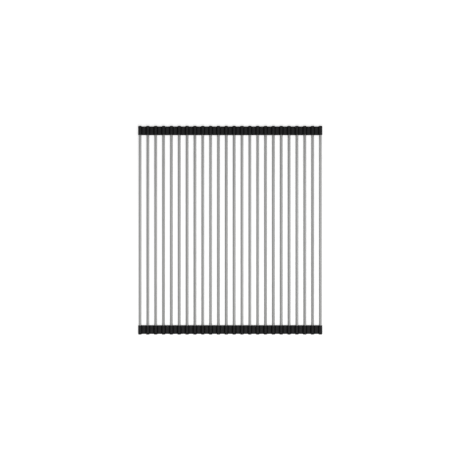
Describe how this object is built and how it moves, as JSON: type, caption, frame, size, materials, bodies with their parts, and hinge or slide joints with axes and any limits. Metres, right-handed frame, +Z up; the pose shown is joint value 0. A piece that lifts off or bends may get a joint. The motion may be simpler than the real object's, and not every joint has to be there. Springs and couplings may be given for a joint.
{
  "type": "roll-up dish-drying rack",
  "caption": "Roll-up over-the-sink dish-drying rack: a flat row of stainless tubes held at both ends in black silicone strips that bend between the tubes.",
  "frame": {"origin": "centre of the footprint, on the surface that the rack rests on", "axes": "+X across the tubes towards the end that rolls up first, +Y along the tubes, +Z up"},
  "size_m": [0.3758, 0.426, 0.0074],
  "materials": {
    "stainless_tube": "satin drawn stainless steel",
    "silicone": "matt moulded black silicone"
  },
  "bodies": {
    "bar_01": {"tube_01": "stainless_tube", "strip_segments_01": "silicone"},
    "bar_02": {"tube_02": "stainless_tube", "strip_segments_02": "silicone"},
    "bar_03": {"tube_03": "stainless_tube", "strip_segments_03": "silicone"},
    "bar_04": {"tube_04": "stainless_tube", "strip_segments_04": "silicone"},
    "bar_05": {"tube_05": "stainless_tube", "strip_segments_05": "silicone"},
    "bar_06": {"tube_06": "stainless_tube", "strip_segments_06": "silicone"},
    "bar_07": {"tube_07": "stainless_tube", "strip_segments_07": "silicone"},
    "bar_08": {"tube_08": "stainless_tube", "strip_segments_08": "silicone"},
    "bar_09": {"tube_09": "stainless_tube", "strip_segments_09": "silicone"},
    "bar_10": {"tube_10": "stainless_tube", "strip_segments_10": "silicone"},
    "bar_11": {"tube_11": "stainless_tube", "strip_segments_11": "silicone"},
    "bar_12": {"tube_12": "stainless_tube", "strip_segments_12": "silicone"},
    "bar_13": {"tube_13": "stainless_tube", "strip_segments_13": "silicone"},
    "bar_14": {"tube_14": "stainless_tube", "strip_segments_14": "silicone"},
    "bar_15": {"tube_15": "stainless_tube", "strip_segments_15": "silicone"},
    "bar_16": {"tube_16": "stainless_tube", "strip_segments_16": "silicone"},
    "bar_17": {"tube_17": "stainless_tube", "strip_segments_17": "silicone"},
    "bar_18": {"tube_18": "stainless_tube", "strip_segments_18": "silicone"},
    "bar_19": {"tube_19": "stainless_tube", "strip_segments_19": "silicone"},
    "bar_20": {"tube_20": "stainless_tube", "strip_segments_20": "silicone"},
    "bar_21": {"tube_21": "stainless_tube", "strip_segments_21": "silicone"},
    "bar_22": {"tube_22": "stainless_tube", "strip_segments_22": "silicone"},
    "bar_23": {"tube_23": "stainless_tube", "strip_segments_23": "silicone"},
    "bar_24": {"tube_24": "stainless_tube", "strip_segments_24": "silicone"}
  },
  "joints": [
    {"name": "web_fold_01", "type": "hinge", "parent": "bar_01", "child": "bar_02", "pos_m": [-0.176, 0, 0.0035], "axis": [0, -1, 0], "range_deg": [0, 25], "stiffness_Nm_per_rad": 0.01},
    {"name": "web_fold_02", "type": "hinge", "parent": "bar_02", "child": "bar_03", "pos_m": [-0.16, 0, 0.0035], "axis": [0, -1, 0], "range_deg": [0, 26], "stiffness_Nm_per_rad": 0.01},
    {"name": "web_fold_03", "type": "hinge", "parent": "bar_03", "child": "bar_04", "pos_m": [-0.144, 0, 0.0035], "axis": [0, -1, 0], "range_deg": [0, 27], "stiffness_Nm_per_rad": 0.01},
    {"name": "web_fold_04", "type": "hinge", "parent": "bar_04", "child": "bar_05", "pos_m": [-0.128, 0, 0.0035], "axis": [0, -1, 0], "range_deg": [0, 27], "stiffness_Nm_per_rad": 0.01},
    {"name": "web_fold_05", "type": "hinge", "parent": "bar_05", "child": "bar_06", "pos_m": [-0.112, 0, 0.0035], "axis": [0, -1, 0], "range_deg": [0, 28], "stiffness_Nm_per_rad": 0.01},
    {"name": "web_fold_06", "type": "hinge", "parent": "bar_06", "child": "bar_07", "pos_m": [-0.096, 0, 0.0035], "axis": [0, -1, 0], "range_deg": [0, 28], "stiffness_Nm_per_rad": 0.01},
    {"name": "web_fold_07", "type": "hinge", "parent": "bar_07", "child": "bar_08", "pos_m": [-0.08, 0, 0.0035], "axis": [0, -1, 0], "range_deg": [0, 29], "stiffness_Nm_per_rad": 0.01},
    {"name": "web_fold_08", "type": "hinge", "parent": "bar_08", "child": "bar_09", "pos_m": [-0.064, 0, 0.0035], "axis": [0, -1, 0], "range_deg": [0, 30], "stiffness_Nm_per_rad": 0.01},
    {"name": "web_fold_09", "type": "hinge", "parent": "bar_09", "child": "bar_10", "pos_m": [-0.048, 0, 0.0035], "axis": [0, -1, 0], "range_deg": [0, 30], "stiffness_Nm_per_rad": 0.01},
    {"name": "web_fold_10", "type": "hinge", "parent": "bar_10", "child": "bar_11", "pos_m": [-0.032, 0, 0.0035], "axis": [0, -1, 0], "range_deg": [0, 31], "stiffness_Nm_per_rad": 0.01},
    {"name": "web_fold_11", "type": "hinge", "parent": "bar_11", "child": "bar_12", "pos_m": [-0.016, 0, 0.0035], "axis": [0, -1, 0], "range_deg": [0, 32], "stiffness_Nm_per_rad": 0.01},
    {"name": "web_fold_12", "type": "hinge", "parent": "bar_12", "child": "bar_13", "pos_m": [0, 0, 0.0035], "axis": [0, -1, 0], "range_deg": [0, 33], "stiffness_Nm_per_rad": 0.01},
    {"name": "web_fold_13", "type": "hinge", "parent": "bar_13", "child": "bar_14", "pos_m": [0.016, 0, 0.0035], "axis": [0, -1, 0], "range_deg": [0, 34], "stiffness_Nm_per_rad": 0.01},
    {"name": "web_fold_14", "type": "hinge", "parent": "bar_14", "child": "bar_15", "pos_m": [0.032, 0, 0.0035], "axis": [0, -1, 0], "range_deg": [0, 36], "stiffness_Nm_per_rad": 0.01},
    {"name": "web_fold_15", "type": "hinge", "parent": "bar_15", "child": "bar_16", "pos_m": [0.048, 0, 0.0035], "axis": [0, -1, 0], "range_deg": [0, 37], "stiffness_Nm_per_rad": 0.01},
    {"name": "web_fold_16", "type": "hinge", "parent": "bar_16", "child": "bar_17", "pos_m": [0.064, 0, 0.0035], "axis": [0, -1, 0], "range_deg": [0, 38], "stiffness_Nm_per_rad": 0.01},
    {"name": "web_fold_17", "type": "hinge", "parent": "bar_17", "child": "bar_18", "pos_m": [0.08, 0, 0.0035], "axis": [0, -1, 0], "range_deg": [0, 40], "stiffness_Nm_per_rad": 0.01},
    {"name": "web_fold_18", "type": "hinge", "parent": "bar_18", "child": "bar_19", "pos_m": [0.096, 0, 0.0035], "axis": [0, -1, 0], "range_deg": [0, 42], "stiffness_Nm_per_rad": 0.01},
    {"name": "web_fold_19", "type": "hinge", "parent": "bar_19", "child": "bar_20", "pos_m": [0.112, 0, 0.0035], "axis": [0, -1, 0], "range_deg": [0, 45], "stiffness_Nm_per_rad": 0.01},
    {"name": "web_fold_20", "type": "hinge", "parent": "bar_20", "child": "bar_21", "pos_m": [0.128, 0, 0.0035], "axis": [0, -1, 0], "range_deg": [0, 47], "stiffness_Nm_per_rad": 0.01},
    {"name": "web_fold_21", "type": "hinge", "parent": "bar_21", "child": "bar_22", "pos_m": [0.144, 0, 0.0035], "axis": [0, -1, 0], "range_deg": [0, 51], "stiffness_Nm_per_rad": 0.01},
    {"name": "web_fold_22", "type": "hinge", "parent": "bar_22", "child": "bar_23", "pos_m": [0.16, 0, 0.0035], "axis": [0, -1, 0], "range_deg": [0, 55], "stiffness_Nm_per_rad": 0.01},
    {"name": "web_fold_23", "type": "hinge", "parent": "bar_23", "child": "bar_24", "pos_m": [0.176, 0, 0.0035], "axis": [0, -1, 0], "range_deg": [0, 60], "stiffness_Nm_per_rad": 0.01}
  ]
}
